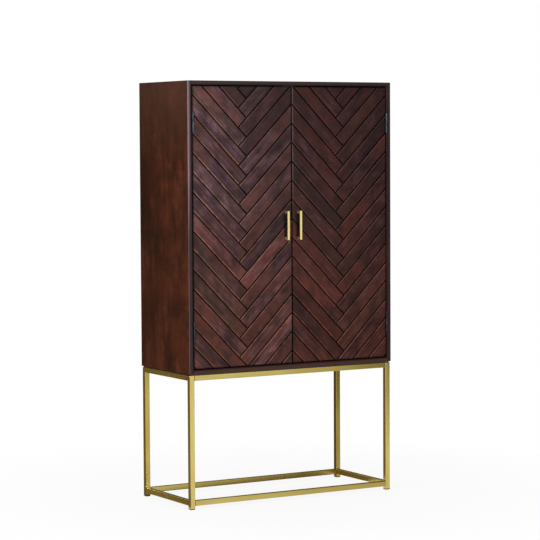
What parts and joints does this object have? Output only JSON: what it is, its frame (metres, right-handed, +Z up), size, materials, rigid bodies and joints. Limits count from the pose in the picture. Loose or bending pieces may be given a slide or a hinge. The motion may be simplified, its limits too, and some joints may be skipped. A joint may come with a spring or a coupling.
{
  "type": "highboard cabinet",
  "caption": "Tall dark wood cabinet with inset herringbone slat doors on butt hinges, bar handles and inner shelves, on an open square tube stand in brass finish.",
  "frame": {"origin": "On the floor, under the middle of the overall box, handles included.", "axes": "+Z up, +Y to the back, -Y the front with the doors, +X to the right as seen from the front."},
  "size_m": [0.9, 0.4104, 1.6],
  "materials": {
    "case_wood": "dark stained, satin lacquer",
    "slat_wood": "dark stained slats, satin lacquer",
    "back_board": "thin board, dark stain",
    "dowel_wood": "plain beech",
    "brass_finish": "satin brass finish",
    "black_plastic": "matt black",
    "hinge_steel": "dark steel, satin",
    "screw_steel": "zinc plated"
  },
  "bodies": {
    "cabinet": {"case_side_left": "case_wood", "case_side_right": "case_wood", "case_top": "case_wood", "case_bottom": "case_wood", "shelf_upper": "case_wood", "shelf_lower": "case_wood", "back_panel": "back_board", "case_dowels": "dowel_wood", "leg_front_left": "brass_finish", "leg_front_right": "brass_finish", "leg_back_left": "brass_finish", "leg_back_right": "brass_finish", "upper_rail_front": "brass_finish", "upper_rail_back": "brass_finish", "upper_rail_left": "brass_finish", "upper_rail_right": "brass_finish", "lower_rail_front": "brass_finish", "lower_rail_back": "brass_finish", "lower_rail_left": "brass_finish", "lower_rail_right": "brass_finish", "glide_front_left": "black_plastic", "glide_front_right": "black_plastic", "glide_back_left": "black_plastic", "glide_back_right": "black_plastic", "spacer_pads": "black_plastic", "magnet_catch": "black_plastic", "hinge_case_leaf_left_upper": "hinge_steel", "hinge_case_leaf_left_lower": "hinge_steel", "hinge_case_leaf_right_upper": "hinge_steel", "hinge_case_leaf_right_lower": "hinge_steel", "hinge_pin_left_upper": "hinge_steel", "hinge_pin_left_lower": "hinge_steel", "hinge_pin_right_upper": "hinge_steel", "hinge_pin_right_lower": "hinge_steel", "hinge_case_screws": "screw_steel", "back_panel_screws": "screw_steel", "catch_screws": "screw_steel", "stand_screws": "screw_steel", "shelf_supports": "screw_steel"},
    "door_left": {"door_panel_left": "case_wood", "slats_left_outer": "slat_wood", "slats_left_inner": "slat_wood", "handle_left": "brass_finish", "handle_screws_left": "screw_steel", "strike_plate_left": "screw_steel", "strike_screw_left": "screw_steel", "hinge_door_leaf_left_upper": "hinge_steel", "hinge_door_leaf_left_lower": "hinge_steel", "hinge_door_screws_left": "screw_steel"},
    "door_right": {"door_panel_right": "case_wood", "slats_right_outer": "slat_wood", "slats_right_inner": "slat_wood", "handle_right": "brass_finish", "handle_screws_right": "screw_steel", "strike_plate_right": "screw_steel", "strike_screw_right": "screw_steel", "hinge_door_leaf_right_upper": "hinge_steel", "hinge_door_leaf_right_lower": "hinge_steel", "hinge_door_screws_right": "screw_steel"}
  },
  "joints": [
    {"name": "door_left_hinge", "type": "hinge", "parent": "cabinet", "child": "door_left", "pos_m": [-0.4287, -0.1887, 1.054], "axis": [0, 0, -1], "range_deg": [0, 180]},
    {"name": "door_right_hinge", "type": "hinge", "parent": "cabinet", "child": "door_right", "pos_m": [0.4287, -0.1887, 1.054], "axis": [0, 0, 1], "range_deg": [0, 180]}
  ]
}
